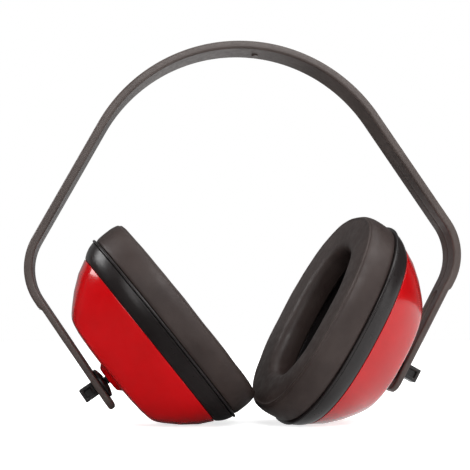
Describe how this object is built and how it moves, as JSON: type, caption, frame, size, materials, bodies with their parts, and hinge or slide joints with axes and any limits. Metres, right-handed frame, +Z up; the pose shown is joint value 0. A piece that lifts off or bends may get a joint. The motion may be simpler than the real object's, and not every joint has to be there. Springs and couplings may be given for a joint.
{
  "type": "hearing protection earmuffs",
  "caption": "Over-the-head hearing protection earmuffs with a springy plastic headband, slotted height adjustment and oval cups on ball studs with soft cushions.",
  "frame": {"origin": "centre of the bounding box's bottom, on the surface that the two cups stand on", "axes": "+X from the left cup to the right cup, +Y front to back, +Z up toward the crown of the headband"},
  "size_m": [0.2102, 0.0862, 0.1845],
  "materials": {
    "band_plastic": "semi-matte moulded plastic, warm black",
    "hardware_plastic": "satin moulded plastic, black",
    "seat_plastic": "smooth natural plastic",
    "shell_red": "glossy moulded plastic, red",
    "ring_plastic": "glossy moulded plastic, black",
    "liner_foam": "open-cell foam, charcoal",
    "cushion_foam": "soft foam, cream",
    "cushion_vinyl": "soft matte vinyl, brown-black"
  },
  "bodies": {
    "headband": {"headband": "band_plastic"},
    "left_slider": {"left_slide_block": "hardware_plastic"},
    "left_stud": {"left_pivot_stud": "hardware_plastic", "left_lock_knob": "hardware_plastic"},
    "left_seat": {"left_ball_seat": "seat_plastic"},
    "left_cup": {"left_cup_shell": "shell_red", "left_socket_cap": "hardware_plastic", "left_cup_liner": "liner_foam", "left_back_ring": "ring_plastic", "left_cushion_plate": "ring_plastic", "left_cushion_foam": "cushion_foam", "left_cushion_skin": "cushion_vinyl"},
    "right_slider": {"right_slide_block": "hardware_plastic"},
    "right_stud": {"right_pivot_stud": "hardware_plastic", "right_lock_knob": "hardware_plastic"},
    "right_seat": {"right_ball_seat": "seat_plastic"},
    "right_cup": {"right_cup_shell": "shell_red", "right_socket_cap": "hardware_plastic", "right_cup_liner": "liner_foam", "right_back_ring": "ring_plastic", "right_cushion_plate": "ring_plastic", "right_cushion_foam": "cushion_foam", "right_cushion_skin": "cushion_vinyl"}
  },
  "joints": [
    {"name": "left_height_slide", "type": "slide", "parent": "headband", "child": "left_slider", "axis": [-0.5664, 0, 0.8241], "range_m": [0, 0.018]},
    {"name": "left_stud_turn", "type": "hinge", "parent": "left_slider", "child": "left_stud", "pos_m": [-0.06211, 0.00291, 0.02375], "axis": [0.8241, 0, 0.5664], "range_deg": [-8, 8]},
    {"name": "left_cup_swivel", "type": "hinge", "parent": "left_stud", "child": "left_seat", "pos_m": [-0.06211, 0.00291, 0.02375], "axis": [0.5664, 0, -0.8241], "range_deg": [-8, 8]},
    {"name": "left_cup_tilt", "type": "hinge", "parent": "left_seat", "child": "left_cup", "pos_m": [-0.06211, 0.00291, 0.02375], "axis": [0.0115, 0.9999, 0.0079], "range_deg": [0, 8]},
    {"name": "right_height_slide", "type": "slide", "parent": "headband", "child": "right_slider", "axis": [0.4772, 0, 0.8788], "range_m": [0, 0.018]},
    {"name": "right_stud_turn", "type": "hinge", "parent": "right_slider", "child": "right_stud", "pos_m": [0.06739, 0.00291, 0.03054], "axis": [-0.8788, 0, 0.4772], "range_deg": [-8, 8]},
    {"name": "right_cup_swivel", "type": "hinge", "parent": "right_stud", "child": "right_seat", "pos_m": [0.06739, 0.00291, 0.03054], "axis": [0.4772, 0, 0.8788], "range_deg": [-16, 1]},
    {"name": "right_cup_tilt", "type": "hinge", "parent": "right_seat", "child": "right_cup", "pos_m": [0.06739, 0.00291, 0.03054], "axis": [0.1329, -0.9885, -0.0722], "range_deg": [0, 8]}
  ]
}
